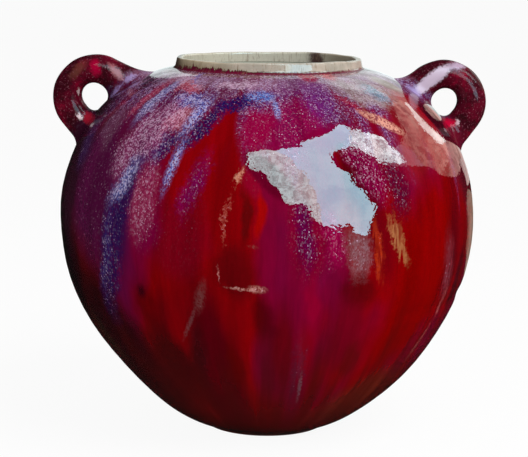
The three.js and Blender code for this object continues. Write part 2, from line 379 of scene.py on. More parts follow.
def make_collar(glaze):
    """The band round the mouth, with the glaze that gathers where it meets the shoulder."""
    lip_radius = COLLAR_RADIUS - COLLAR_TAPER
    root_radius = COLLAR_RADIUS + COLLAR_GLAZE_FILLET
    shoulder = WALL[WALL_STEPS:]
    root_height = float(np.interp(-root_radius, -shoulder[:, 0], shoulder[:, 1]))
    fillet = bezier(
        (root_radius, root_height - 0.3 * MM),
        (COLLAR_RADIUS + 0.3 * COLLAR_GLAZE_FILLET, NECK_HEIGHT + 0.1 * MM),
        (COLLAR_RADIUS - 0.2 * MM, NECK_HEIGHT + 0.3 * COLLAR_GLAZE_FILLET),
        (COLLAR_RADIUS - 0.3 * MM, NECK_HEIGHT + COLLAR_GLAZE_FILLET),
        ROUND_STEPS,
    )
    outer_lip = arc(lip_radius - LIP_ROUND, LIP_HEIGHT - LIP_ROUND, LIP_ROUND, 0, 90)
    inner_lip = arc(MOUTH_RADIUS + LIP_ROUND, LIP_HEIGHT - LIP_ROUND, LIP_ROUND, 90, 180)
    inner_wall = [(MOUTH_RADIUS, height) for height in np.linspace(LIP_HEIGHT - 2 * MM, NECK_HEIGHT, 6)]
    under = [(MOUTH_RADIUS, NECK_HEIGHT - 0.4 * MM), (root_radius - 1 * MM, root_height - 0.8 * MM)]
    profile = np.vstack([fillet, outer_lip, inner_lip, inner_wall, under])

    def offset(k, azimuths):
        raised = smooth_share(profile[k][1], NECK_HEIGHT, LIP_HEIGHT)
        wave = np.sin(3 * azimuths + 0.4) + 0.6 * np.sin(7 * azimuths + 2) + 0.3 * np.sin(17 * azimuths)
        lift = LIP_WAVE * raised * (wave - 1.9)
        push = 0.5 * LIP_WAVE * raised * np.sin(5 * azimuths + 1)
        return np.stack([push, lift])

    collar = turned("collar_band", profile, glaze, offset)
    stand_for(collar, "neck_collar")


def make_foot_ring(clay):
    inner = RING_RADIUS - RING_BATTER - RING_WIDTH
    outer = RING_RADIUS - RING_BATTER
    sole = [(radius, 0) for radius in np.linspace(inner + RING_EDGE_ROUND, outer - RING_EDGE_ROUND, 6)]
    heel = arc(outer - RING_EDGE_ROUND, RING_EDGE_ROUND, RING_EDGE_ROUND, -90, 0)[1:]
    toe = arc(inner + RING_EDGE_ROUND, RING_EDGE_ROUND, RING_EDGE_ROUND, 180, 270)[:-1]
    top_height = FOOT_HEIGHT + RING_BITE
    top = [(RING_RADIUS, top_height), (inner - RING_INNER_SLOPE, top_height)]
    profile = np.vstack([toe, sole, heel, top])
    ring = turned("foot_band", profile, clay)
    stand_for(ring, "foot_ring")


# Handles


def over_wall(points):
    """Each point's height over the wall, negative inside it, and the wall's outward normal there."""
    radius = np.hypot(points[:, 0], points[:, 1])
    spots = np.stack([radius, points[:, 2]], 1)[:, None]
    starts = WALL[:-1]
    steps = WALL[1:] - starts
    share = np.clip(((spots - starts) * steps).sum(2) / (steps**2).sum(1), 0, 1)
    off = spots - starts - share[..., None] * steps
    nearest = np.linalg.norm(off, axis=2).argmin(1)
    row = np.arange(len(points))
    facing = np.stack([steps[:, 1], -steps[:, 0]], 1)
    facing /= np.linalg.norm(facing, axis=1)[:, None]
    out = facing[nearest]
    height = (off[row, nearest] * out).sum(1)
    normal = np.stack([out[:, 0] * points[:, 0] / radius, out[:, 0] * points[:, 1] / radius, out[:, 1]], 1)
    return height, normal


class Loop:
    """The line that the middle of a coil follows in the XZ plane: an arc with a straight leg at each end."""

    def __init__(self, rise, reach):
        index = WALL_STEPS + HANDLE_SEAT * WALL_STEPS
        low = int(index)
        seat = WALL[low] + (WALL[low + 1] - WALL[low]) * (index - low)
        normal = WALL_NORMALS[low]
        self.centre = seat + normal * LOOP_LIFT + np.array([reach, rise])
        self.start = math.atan2(normal[1], normal[0]) + LOOP_UPPER_TURN
        self.length = LOOP_RADIUS * (LOOP_UPPER_TURN + LOOP_LOWER_TURN)

    def at(self, distance):
        """Places that far along the arc, before it or past it, and the way out from the finger hole there."""
        on_arc = np.clip(distance, 0, self.length)
        angle = self.start - on_arc / LOOP_RADIUS
        nothing = np.zeros_like(angle)
        out = np.stack([np.cos(angle), nothing, np.sin(angle)], 1)
        along = np.stack([np.sin(angle), nothing, -np.cos(angle)], 1)
        centre = np.array([self.centre[0], 0, self.centre[1]])
        return centre + LOOP_RADIUS * out + (distance - on_arc)[:, None] * along, out

    def skin(self, angles, distance):
        """Points on the coil. Angle 0 faces away from the finger hole."""
        place, out = self.at(distance)
        share = np.clip(distance / self.length, 0, 1)
        half = (COIL_THICKNESS - CROWN_THINNING * np.sin(np.pi * share) ** 2) / 2
        reach = 1 / np.hypot(np.cos(angles) / half, np.sin(angles) / (COIL_WIDTH / 2))
        points = place + out * (np.cos(angles) * reach)[:, None]
        points[:, 1] += np.sin(angles) * reach
        return points

    def comes_down(self, angles, step, height):
        """How far along each side, going from the crown by step, the coil comes down to a height."""
        far = np.full(len(angles), self.length / 2)
        high = over_wall(self.skin(angles, far))[0] > height
        while high.any():
            far = np.where(high, far + step, far)
            high = over_wall(self.skin(angles, far))[0] > height
        near = far - step
        for _ in range(HALVINGS):
            middle = (near + far) / 2
            high = over_wall(self.skin(angles, middle))[0] > height
            near = np.where(high, middle, near)
            far = np.where(high, far, middle)
        return far

    def root(self, angles, step, size):
        """Where the fillets of one root start, and their points from the coil down into the wall."""
        start = self.comes_down(angles, step, size)
        top = self.skin(angles, start)
        down = self.comes_down(angles, step, np.zeros_like(size))
        foot = self.skin(angles, down)
        away = foot - self.at(down)[0]
        normal = over_wall(foot)[1]
        away -= (away * normal).sum(1)[:, None] * normal
        away /= np.linalg.norm(away, axis=1)[:, None]
        end = foot + away * size[:, None]
        height, normal = over_wall(end)
        end -= normal * (height + ROOT_BITE)[:, None]
        leaving = self.skin(angles, start + step) - top
        leaving /= np.linalg.norm(leaving, axis=1)[:, None]
        reach = FILLET_TENSION * np.linalg.norm(top - foot, axis=1)
        rows = [
            bezier(a, a + way * length, e + (f - e) * FILLET_TENSION, e, FILLET_STEPS)
            for a, way, length, e, f in zip(top, leaving, reach, end, foot)
        ]
        return start, np.stack(rows, 1)


def make_handle(name, node, loop, neck_side_fillet, facing, glaze):
    """A rolled coil bent into a loop and pressed on the shoulder, on the left where facing is -1."""
    angles = np.linspace(0, 2 * np.pi, COIL_SIDES, endpoint=False)
    outer_side = np.maximum(np.cos(angles), 0) ** 2
    upper_size = ROOT_FILLET + (neck_side_fillet - ROOT_FILLET) * outer_side
    lower_size = ROOT_FILLET + (LOWER_OUTER_FILLET - ROOT_FILLET) * outer_side
    upper_start, upper = loop.root(angles, -MARCH_STEP, upper_size)
    lower_start, lower = loop.root(angles, MARCH_STEP, lower_size)
    between = [
        loop.skin(angles, upper_start + (lower_start - upper_start) * i / LOOP_STEPS)
        for i in range(1, LOOP_STEPS)
    ]
    rings = np.concatenate([upper[::-1], np.stack(between), lower])
    vertices = rings.reshape(-1, 3) * [facing, facing, 1]
    faces = []
    for r in range(len(rings) - 1):
        a = r * COIL_SIDES
        b = a + COIL_SIDES
        faces += [(a + j, b + j, b + m, a + m) for j, m in next_ones(COIL_SIDES)]
    last = (len(rings) - 1) * COIL_SIDES
    faces.append(tuple(range(COIL_SIDES)))
    faces.append(tuple(last + j for j in reversed(range(COIL_SIDES))))
    handle = make_mesh(name, vertices, faces, glaze)
    outward_faces(handle)
    roll_by_hand(handle)
    stand_for(handle, node)


def outward_faces(piece):
    work = bmesh.new()
    work.from_mesh(piece.data)
    bmesh.ops.recalc_face_normals(work, faces=work.faces)
    work.to_mesh(piece.data)
    work.free()


def roll_by_hand(piece):
    """Uneven thickness in the coil, fading into the roots, and how far each point lifts off the wall."""
    mesh = piece.data
    points = np.array([v.co[:] for v in mesh.vertices])
    normals = np.array([v.normal[:] for v in mesh.vertices])
    lift = over_wall(points)[0]
    uneven = np.array([noise.noise(Vector(p) * HAND_ROLLED_SCALE) for p in points])
    free = smooth_share(lift, 1 * MM, 9 * MM)
    points += normals * (uneven * HAND_ROLLED_DEPTH * free)[:, None]
    mesh.vertices.foreach_set("co", points.ravel())
    stored = mesh.attributes.new("lift", "FLOAT", "POINT")
    stored.data.foreach_set("value", lift)
    mesh.update()


# Materials


def linear(red, green, blue):
    """A linear colour from screen values of 0 to 255."""
    parts = [c / 255 for c in (red, green, blue)]
    curve = [p / 12.92 if p <= 0.04045 else ((p + 0.055) / 1.055) ** 2.4 for p in parts]
    return (*curve, 1)


class Tree:
    """The nodes of a material or a world. Each method adds a node and gives its output."""

    def __init__(self, owner):
        owner.use_nodes = True
        self.owner = owner
        self.nodes = owner.node_tree.nodes
        self.links = owner.node_tree.links
        self.nodes.clear()

    def add(self, kind, inputs, output=0, **settings):
        node = self.nodes.new("ShaderNode" + kind)
        for name, value in settings.items():
            setattr(node, name, value)
        for key, value in inputs.items():
            if isinstance(value, bpy.types.NodeSocket):
                self.links.new(value, node.inputs[key])
            else:
                node.inputs[key].default_value = value
        return node.outputs[output]

    def math(self, operation, a, b=0.0):
        return self.add("Math", {0: a, 1: b}, operation=operation)

    def plus(self, a, b):
        return self.math("ADD", a, b)

    def minus(self, a, b):
        return self.math("SUBTRACT", a, b)

    def times(self, a, b):
        return self.math("MULTIPLY", a, b)

    def swayed(self, value, pattern, amount):
        """A value moved by a pattern, by up to half the amount each way."""
        return self.plus(value, self.times(self.minus(pattern, 0.5), amount))

    def vector(self, operation, a, b=(0, 0, 0), output=0):
        return self.add("VectorMath", {0: a, 1: b}, output, operation=operation)

    def squashed(self, place, share):
        """A place with its height times the share, which draws a pattern out upright."""
        return self.vector("MULTIPLY", place, (1, 1, share))

    def axes(self, place):
        return self.add("SeparateXYZ", {0: place}).node.outputs

    def smooth(self, value, low, high, start=0.0, end=1.0):
        inputs = {0: value, 1: low, 2: high, 3: start, 4: end}
        return self.add("MapRange", inputs, interpolation_type="SMOOTHSTEP")

    def noise(self, place, scale, detail=2.0, roughness=0.5, output="Fac"):
        inputs = {"Vector": place, "Scale": scale, "Detail": detail, "Roughness": roughness}
        return self.add("TexNoise", inputs, output)

    def mix(self, share, a, b):
        """From a at share 0 to b at share 1. A colour of three values has screen values of 0 to 255."""
        a, b = (linear(*end) if isinstance(end, tuple) and len(end) == 3 else end for end in (a, b))
        return self.add("Mix", {0: share, 6: a, 7: b}, 2, data_type="RGBA")

    def split(self, colour):
        return self.add("SeparateColor", {0: colour}).node.outputs

    def place(self):
        return self.add("TexCoord", {}, "Object")

    def finish(self, shader, kind="Material"):
        output = self.nodes.new("ShaderNodeOutput" + kind)
        self.links.new(shader, output.inputs["Surface"])
        return self.owner


def new_tree(name):
    return Tree(bpy.data.materials.new(name))


class Run(NamedTuple):
    """A run from one place on the wall to another, each an azimuth and a height in millimetres. Most runs are
    glaze; a few are painted shade, painted reflections and painted glints.

    core is the share of its half width that is full, and strength how much it covers. milk is how densely
    pale flecks float in it. grain says how its edge breaks up: even, grains, streaks, mark or clean."""

    name: str
    top: tuple
    foot: tuple
    half_width: float
    core: float
    strength: float
    colour: tuple
    milk: float = 0.0
    grain: str = "even"


RUNS = [
    # Painted shade: these two runs darken the left limb, the side away from the light.
    Run("painted shade on the left limb", (-88, 216), (-86, 110), 80, 0.6, 0.97, (46, 12, 32), 0.08),
    Run("painted deep shade on the left limb", (-88, 138), (-84, 24), 86, 0.55, 0.97, (14, 2, 8), 0.02),
    Run("maroon on the left", (-56, 218), (-52, 126), 34, 0.5, 1.0, (84, 14, 60), 0.12),
    Run("dusty violet", (-60, 226), (-56, 196), 16, 0.3, 0.8, (104, 58, 84), 0.25, "grains"),
    Run("indigo by the handle", (-72, 212), (-66, 180), 14, 0.3, 0.8, (66, 32, 84), 0.2, "grains"),
    Run("dark maroon low left", (-58, 134), (-39, 14), 42, 0.45, 0.94, (32, 5, 10), 0.03),
    Run("red low left", (-36, 120), (-31, 86), 14, 0.3, 0.95, (104, 0, 6)),
    Run("deep red low left", (-33, 94), (-22, 44), 17, 0.3, 0.85, (58, 5, 9)),
    Run("dark spot on the left", (-35, 118), (-35, 108), 5, 0.1, 0.8, (44, 0, 14), 0.0, "clean"),
    Run("crimson field", (-22, 178), (-24, 122), 24, 0.4, 0.9, (122, 0, 22), 0.05),
    Run("magenta on the left", (-30, 166), (-34, 132), 13, 0.3, 0.85, (116, 0, 56), 0.12),
    Run("pink grain above", (-32, 230), (-46, 184), 17, 0.5, 0.9, (138, 58, 104), 0.7, "grains"),
    # Partly milky glaze and partly painted reflection: the two pale bands stand in for the sky mirrored by
    # the neck.
    Run("pale band and painted reflection, left neck", (-56, 241.2), (-24, 241), 3.2, 0.5, 0.95, (196, 154, 178), 0.7, "grains"),
    Run("pale band and painted reflection before the neck", (-24, 241.4), (-3, 240), 3.4, 0.5, 0.85, (190, 150, 176), 0.7, "grains"),
    Run("rose by the left neck", (-27, 239.6), (-43, 239), 4.5, 0.4, 0.95, (170, 62, 84), 0.4, "grains"),
    Run("maroon under the band", (-13, 235.5), (-26, 233.5), 7, 0.4, 0.95, (96, 34, 72), 0.3, "grains"),
    Run("salmon core", (-26, 227), (-35, 212), 10, 0.3, 0.8, (190, 108, 134), 0.7, "grains"),
    Run("pink grain below", (-33, 196), (-35, 142), 13, 0.4, 0.9, (142, 42, 80), 0.5, "grains"),
    Run("indigo band", (-38, 200), (-50, 84), 14, 0.45, 0.95, (38, 14, 74), 0.22, "grains"),
    Run("blue core of the band", (-36, 200), (-46, 164), 8.5, 0.1, 0.95, (88, 98, 164), 1.0, "grains"),
    Run("blue foot of the band", (-45, 174), (-48, 100), 8, 0.1, 0.85, (54, 36, 104), 0.45, "grains"),
    Run("red beside the thin streak", (-50, 243), (-52, 216), 6.5, 0.35, 0.9, (164, 50, 82), 0.35, "grains"),
    Run("dark under the saddle", (-80, 238.5), (-56, 239), 3.6, 0.4, 0.85, (40, 18, 44), 0.15, "grains"),
    Run("thin blue streak", (-43, 243), (-48, 212), 6, 0.3, 0.95, (108, 110, 174), 0.85, "grains"),
    Run("blue patch by the neck", (-23, 233), (-36, 230), 7, 0.4, 0.95, (80, 90, 170), 0.85, "grains"),
    Run("navy pool", (-26, 213), (-34, 192), 8, 0.3, 0.9, (38, 20, 84), 0.45, "grains"),
    Run("scarlet arch", (-11, 231), (-25, 172), 13, 0.6, 1.0, (138, 0, 8)),
    Run("scarlet middle", (-9, 216), (-8, 100), 18, 0.5, 0.95, (124, 0, 6)),
    Run("deep red in the middle", (-10, 148), (-5, 116), 17, 0.4, 0.95, (98, 2, 8)),
    Run("red between the dark runs", (-11, 92), (-9, 46), 7, 0.3, 0.8, (92, 2, 2)),
    Run("violet in the arch", (-17, 202), (-22, 156), 9, 0.2, 0.85, (118, 8, 84), 0.3, "grains"),
    Run("crimson drop", (-5, 192), (-3, 172), 7, 0.4, 0.85, (132, 2, 34), 0.06),
    Run("brown drop", (-6.5, 182), (-5.5, 146), 4, 0.3, 0.85, (84, 4, 6), 0.02),
    Run("orange flame", (-2.5, 178), (-2.5, 150), 4.6, 0.4, 0.9, (156, 4, 0)),
    Run("grey rim of the flame", (-5, 147), (-2, 146), 1.6, 0.3, 0.5, (120, 60, 56), 0.1, "mark"),
    Run("magenta at the neck", (12, 232), (6, 196), 24, 0.5, 0.9, (128, 0, 60), 0.14, "grains"),
    Run("magenta in the arch", (-2, 229), (-4, 200), 13, 0.4, 0.9, (134, 0, 52), 0.1),
    Run("magenta beside the sky", (24, 214), (31, 172), 12, 0.4, 0.95, (124, 2, 62), 0.4, "grains"),
    Run("calm glaze behind the window", (14, 210), (18, 168), 11, 0.6, 0.98, (112, 0, 44), 0.0, "clean"),
    Run("calm glaze over the hollow", (9, 207), (28, 216), 7.5, 0.6, 0.98, (118, 0, 50), 0.0, "clean"),
    Run("calm glaze behind the haze", (-7, 203), (8, 172), 9, 0.6, 0.9, (92, 0, 30), 0.0, "clean"),
    Run("magenta in the hollow", (22, 204), (25, 196), 8, 0.4, 0.95, (124, 0, 58), 0.5, "mark"),
    Run("violet by the neck", (-10, 238), (30, 240), 5, 0.5, 0.85, (104, 36, 96), 0.45, "grains"),
    Run("violet right of the middle", (20, 242), (18, 216), 14, 0.3, 0.85, (96, 26, 104), 0.35, "grains"),
    Run("magenta under the sky", (8, 172), (12, 124), 18, 0.4, 0.9, (120, 0, 38), 0.12),
    Run("bright magenta under the sky", (16, 170), (18, 124), 8, 0.3, 0.85, (148, 4, 70), 0.3, "grains"),
    Run("dark violet under the sky", (9, 176), (10, 128), 10, 0.2, 0.85, (82, 0, 66), 0.35, "grains"),
    Run("magenta band", (12, 132), (13, 84), 7, 0.3, 0.9, (136, 0, 40)),
    Run("crimson beside the band", (23, 118), (22, 60), 14, 0.4, 0.85, (108, 2, 20)),
    Run("deep red low", (27, 84), (28, 52), 9, 0.3, 0.8, (88, 8, 12)),
    Run("deep red under the mauve", (23, 124), (26, 106), 13, 0.3, 0.8, (86, 2, 8)),
    Run("red left of the band", (4, 120), (6, 40), 12, 0.3, 0.85, (102, 2, 8), 0.0, "clean"),
    Run("dark wedge", (-1, 120), (0, 74), 9, 0.2, 0.6, (54, 0, 8)),
    Run("dark purple on the right", (33, 198), (40, 164), 14, 0.3, 0.9, (82, 4, 44), 0.25, "grains"),
    Run("red on the right shoulder", (62, 236), (58, 188), 26, 0.5, 0.95, (146, 10, 20), 0.05),
    Run("red under the salmon", (52, 238), (45, 178), 18, 0.6, 1.0, (126, 14, 28)),
    Run("maroon by the right handle", (82, 224), (71, 172), 30, 0.55, 0.97, (92, 12, 30)),
    Run("dark strip by the white door", (66, 223), (71, 200), 4, 0.6, 0.95, (58, 6, 20), 0.0, "clean"),
    Run("dark strip under the right handle", (67, 229), (76, 198), 9, 0.5, 0.95, (46, 6, 18), 0.0, "mark"),
    Run("bright red on the right", (52, 184), (40, 62), 31, 0.6, 0.97, (130, 0, 0)),
    Run("dark vein", (44, 182), (45, 148), 4, 0.2, 0.7, (108, 0, 4), 0.02),
    Run("grey mauve", (22, 156), (24, 122), 11, 0.3, 0.85, (128, 86, 94), 0.3, "grains"),
    Run("orange edge", (27, 170), (31, 114), 5.5, 0.2, 0.9, (164, 44, 18), 0.1, "streaks"),
    Run("tan run", (33, 168), (39, 130), 6.5, 0.4, 0.85, (166, 108, 66), 0.1, "streaks"),
    Run("mauve at the right limb", (57, 154), (61, 98), 10, 0.2, 0.8, (124, 38, 50), 0.2, "streaks"),
    Run("thin mauve line", (60, 112), (59, 86), 2.6, 0.3, 0.8, (164, 88, 90), 0.0, "mark"),
    Run("lower mauve line", (58, 88), (55, 56), 2.6, 0.3, 0.75, (164, 92, 92), 0.0, "mark"),
    Run("dark right limb", (68, 154), (66, 74), 8, 0.2, 0.8, (60, 6, 20), 0.05),
    Run("milk by the right neck", (28, 240), (54, 231), 12, 0.4, 0.85, (160, 146, 148), 0.3, "grains"),
    Run("beige by the right neck", (60, 243), (66, 232), 9, 0.4, 0.85, (136, 112, 98)),
    Run("teal in the milk", (42, 240), (52, 227), 6.5, 0.2, 0.9, (112, 144, 168), 0.5, "grains"),
    Run("red under the milk", (24, 236), (46, 212), 3.5, 0.4, 0.9, (146, 22, 46), 0.2, "grains"),
    Run("tan on the shoulder", (31, 226), (47, 209), 4.2, 0.5, 0.95, (208, 148, 130), 0.0, "mark"),
    Run("crimson by the collar", (16, 244.4), (26, 244), 4.4, 0.4, 0.95, (150, 0, 50), 0.1, "mark"),
    Run("orange by the collar", (28, 244.6), (38, 244.2), 4, 0.3, 0.9, (190, 60, 72), 0.2, "mark"),
    Run("maroon by the collar", (-19, 244.6), (-1, 244.2), 3, 0.4, 0.85, (104, 22, 60), 0.2, "grains"),
    Run("blue by the collar", (-41, 243.8), (-32, 243.8), 1.8, 0.3, 0.8, (112, 104, 184), 0.5, "grains"),
    Run("violet edge of the arch", (-13, 231), (-26, 199), 8, 0.4, 1.0, (38, 8, 76), 0.3, "grains"),
    Run("navy over the arch", (-20, 227), (-2, 232.5), 5, 0.4, 0.98, (26, 10, 82), 0.15, "grains"),
    Run("blue over the arch", (-9, 233.6), (3, 233.8), 4.2, 0.4, 0.95, (58, 98, 172), 0.55, "mark"),
    Run("blue at the arch's right foot", (2, 233), (3.5, 220), 3, 0.3, 0.85, (96, 124, 190), 0.6, "mark"),
    Run("blue streak above", (-20.5, 236), (-28, 205), 6.4, 0.1, 1.0, (84, 106, 186), 0.85, "mark"),
    Run("blue streak below", (-24.5, 214), (-29, 170), 5, 0.1, 1.0, (84, 108, 192), 0.85, "mark"),
    Run("gold beads", (-6.5, 194), (-8, 181), 2.6, 0.2, 0.75, (206, 140, 112), 0.3, "grains"),
    Run("last gold beads", (-9, 180), (-12, 146), 1.4, 0.1, 0.55, (196, 100, 84), 0.3, "grains"),
    Run("grey run on the left", (-16, 126), (-19, 100), 5, 0.1, 0.7, (112, 62, 62), 0.1, "mark"),
    Run("foot of the grey run", (-18, 110), (-25, 80), 2, 0.2, 0.6, (122, 74, 78), 0.0, "mark"),
    Run("dark run on the left", (-20, 104), (-21, 42), 8, 0.1, 0.8, (54, 8, 12), 0.05),
    Run("dark glaze low on the left", (-36, 84), (-18, 22), 20, 0.2, 0.8, (56, 7, 10), 0.0, "clean"),
    Run("violet run in the middle", (9, 98), (11, 26), 5.5, 0.2, 0.7, (84, 24, 50), 0.1, "streaks"),
    Run("pale line in the middle", (11.5, 64), (12.5, 34), 1.6, 0.3, 0.7, (128, 98, 112), 0.1, "mark"),
    Run("brown low on the right", (50, 52), (28, 14), 30, 0.4, 0.95, (112, 36, 20)),
    # Painted reflection: a dim olive ground mirrored low on the left.
    Run("painted olive reflection low on the left", (-64, 92), (-56, 50), 12, 0.2, 0.6, (48, 38, 28), 0.02),
    # Painted glint: a thin L-shaped line of mirrored light, in three pieces.
    Run("painted glint, level", (-11.5, 121), (0, 118.5), 1.3, 0.3, 0.9, (196, 134, 124), 0.2, "mark"),
    Run("painted glint, end", (-5, 120.4), (0.3, 119.4), 3.3, 0.2, 0.85, (190, 126, 116), 0.3, "mark"),
    Run("painted glint, upright", (-12.5, 136), (-12, 122), 0.8, 0.3, 0.8, (196, 120, 116), 0.2, "mark"),
]


class Mark(NamedTuple):
    """A spot on a handle, from one place to another in millimetres. Some are glaze colour; the lavender ones
    and the glints are painted reflections.
    """

    name: str
    start: tuple
    end: tuple
    half_width: float
    core: float
    strength: float
    colour: tuple


MARKS = [
    # Painted reflections: lavender sky mirrored along the right coil; at the root it lies on thick glaze as
    # well.
    Mark("painted lavender reflection on the right coil", (97, -13, 229), (122, -9, 249), 5.4, 0.6, 0.95, (196, 180, 200)),
    Mark("painted lavender reflection over the right coil", (118, -8, 247), (138, -5, 250), 3.6, 0.3, 0.85, (180, 160, 184)),
    Mark("thick glaze and painted reflection at the right root", (92, -16, 235), (101, -16, 227), 6, 0.3, 0.8, (150, 136, 186)),
    Mark("crimson on the right coil", (118, -10, 211), (126, -9, 209), 4.0, 0.3, 0.9, (176, 8, 48)),
    # Painted glint.
    Mark("glint on the right coil", (126, -10, 213), (128, -10, 208), 1.8, 0.3, 0.8, (220, 190, 200)),
    Mark("crimson on the left coil", (-117, -8, 250), (-115, -9, 238), 5.0, 0.3, 0.85, (158, 0, 48)),
    Mark("crimson at the left root", (-123, -10, 214), (-118, -10, 207), 5.0, 0.3, 0.8, (156, 20, 42)),
    # Painted glints at the left root.
    Mark("glint at the left root", (-129, -9, 214), (-125, -9, 209), 2.0, 0.3, 0.9, (230, 206, 212)),
    Mark("painted glint low on the left root", (-120, -11, 206), (-118, -11, 204), 1.6, 0.3, 0.8, (224, 160, 170)),
    Mark("glint inside the left coil", (-128, -7, 231), (-127, -7, 225), 1.3, 0.3, 0.8, (214, 190, 190)),
    # Partly glaze bloom and partly painted reflection of the sky.
    Mark("bloom and painted sheen on the left coil", (-108, -8, 248), (-97, -10, 236), 3.4, 0.3, 0.5, (196, 128, 136)),
    Mark("brown on the left coil", (-134, -8, 236), (-122, -6, 249), 4.5, 0.3, 0.5, (112, 62, 50)),
    # Painted reflections: lavender lines of mirrored sky along the left root.
    Mark("painted lavender reflection along the left root", (-107, -10, 223), (-97, -11, 235), 2.2, 0.3, 0.7, (150, 128, 184)),
    Mark("painted lavender reflection at the left root's top", (-97, -11, 235), (-88, -10, 241), 3.0, 0.3, 0.7, (160, 142, 192)),
]


def flow_place(tree, place):
    """Places unrolled along the runs of the glaze: round the axis by azimuth, and up by height."""
    x, y, z = tree.axes(place)
    flat = tree.add("CombineXYZ", {0: x, 1: y})
    around = tree.vector("NORMALIZE", flat)
    unrolled = tree.vector("MULTIPLY", around, (BELLY_RADIUS, BELLY_RADIUS, 0))
    upright = tree.add("CombineXYZ", {2: z})
    return tree.vector("ADD", unrolled, upright), z


def on_wall(azimuth, height):
    """A point of the wall, by azimuth in degrees and height in millimetres, and the way out from the axis."""
    angle = math.radians(azimuth)
    out = Vector((math.sin(angle), -math.cos(angle), 0))
    return out * wall_radius(height * MM) + Vector((0, 0, height * MM)), out


def streak_mask(tree, place, start, end, outward, half_width, depth, core, strength):
    """1 along the middle of a long spot from start to end, and 0 outside it. Lengths are in metres."""
    along = (start - end).normalized()
    aside = along.cross(outward).normalized()
    turn = Matrix((aside, along.cross(aside), along)).transposed()
    spot = tree.add("TexGradient", {"Vector": place}, "Fac", gradient_type="SPHERICAL")
    mapping = spot.node.texture_mapping
    mapping.vector_type = "TEXTURE"
    mapping.translation = (start + end) / 2
    mapping.rotation = turn.to_euler()
    mapping.scale = (half_width, depth, (start - end).length / 2 + half_width / 2)
    return tree.smooth(spot, 0.0, 1.0 - core, 0.0, strength)


def run_mask(tree, run, place):
    top, out_at_top = on_wall(*run.top)
    foot, out_at_foot = on_wall(*run.foot)
    half_width = run.half_width * MM
    depth = (top - foot).length / 2 + half_width / 2 + RUN_DEPTH
    outward = out_at_top + out_at_foot
    return streak_mask(tree, place, top, foot, outward, half_width, depth, run.core, run.strength)


def shifted(tree, place, pattern, sizes):
    """A place moved by a colour pattern, by up to half of each size."""
    red, green, blue = tree.split(pattern)[:3]
    as_vector = tree.add("CombineXYZ", {0: red, 1: green, 2: blue})
    centred = tree.vector("SUBTRACT", as_vector, (0.5, 0.5, 0.5))
    return tree.vector("ADD", place, tree.vector("MULTIPLY", centred, sizes))


def run_places(tree, place, flow, streaks):
    """For each grain, the place that a run's mask reads, so that its edge breaks up in that manner."""
    wander = shifted(tree, place, tree.noise(flow, 28, 3, 0.6, output="Color"), WANDER)
    drip = tree.add("CombineXYZ", {2: tree.times(tree.minus(streaks, 0.5), DRIP_LENGTH)})
    rough_edge = tree.noise(place, 420, 3, 0.75, output="Color")
    broken = shifted(tree, tree.vector("ADD", wander, drip), rough_edge, BROKEN_EDGE)
    soft = shifted(tree, wander, rough_edge, SOFT_EDGE)
    crumbled = shifted(tree, place, tree.noise(place, 500, 2, 0.7, output="Color"), CRUMBLED_EDGE)
    return {"even": wander, "streaks": broken, "grains": soft, "mark": crumbled, "clean": crumbled}


def ground_colour(tree, flow, ragged_height, salt):
    """The glaze under its runs, red pools with a violet haze on the shoulder, and how milky it is."""
    pools = tree.noise(tree.squashed(flow, 0.4), POOL_SCALE, 2, 0.5)
    colour = tree.mix(tree.smooth(pools, 0.36, 0.5), (84, 0, 12), (132, 0, 6))
    colour = tree.mix(tree.smooth(pools, 0.5, 0.62), colour, (118, 2, 44))
    colour = tree.mix(tree.smooth(pools, 0.62, 0.75), colour, (70, 12, 66))
    shoulder = tree.smooth(ragged_height, *SHOULDER_HAZE)
    haze = tree.mix(tree.smooth(salt, 0.42, 0.6), (96, 20, 70), (84, 56, 120))
    return tree.mix(tree.times(shoulder, 0.85), colour, haze), tree.times(shoulder, 0.55)


def with_flecks(tree, place, colour, milk, salt):
    """The colour with pale flecks and dark pits in it, as far as it is milky."""
    pale = tree.mix(tree.plus(tree.times(milk, 0.45), 0.2), colour, (214, 198, 222))
    salted = tree.plus(salt, tree.times(tree.minus(milk, 1.0), 0.22))
    colour = tree.mix(tree.times(tree.smooth(salted, 0.46, 0.62), milk), colour, pale)
    fleck = tree.add("TexVoronoi", {"Vector": tree.squashed(place, 0.75), "Scale": FLECK_SCALE}, "Color")
    rarity, brightness = tree.split(fleck)[:2]
    near = tree.smooth(fleck.node.outputs["Distance"], 0.55, 0.28)
    chosen = tree.smooth(tree.minus(rarity, tree.times(milk, 0.75)), 0.0, -0.12)
    bright = tree.times(tree.times(near, chosen), tree.smooth(brightness, 0.0, 1.0, 0.2, 0.9))
    colour = tree.mix(bright, colour, tree.mix(0.7, colour, (226, 190, 222)))
    pits = tree.times(tree.smooth(salt, 0.4, 0.28), tree.times(milk, 0.5))
    return tree.mix(pits, colour, (40, 8, 40))


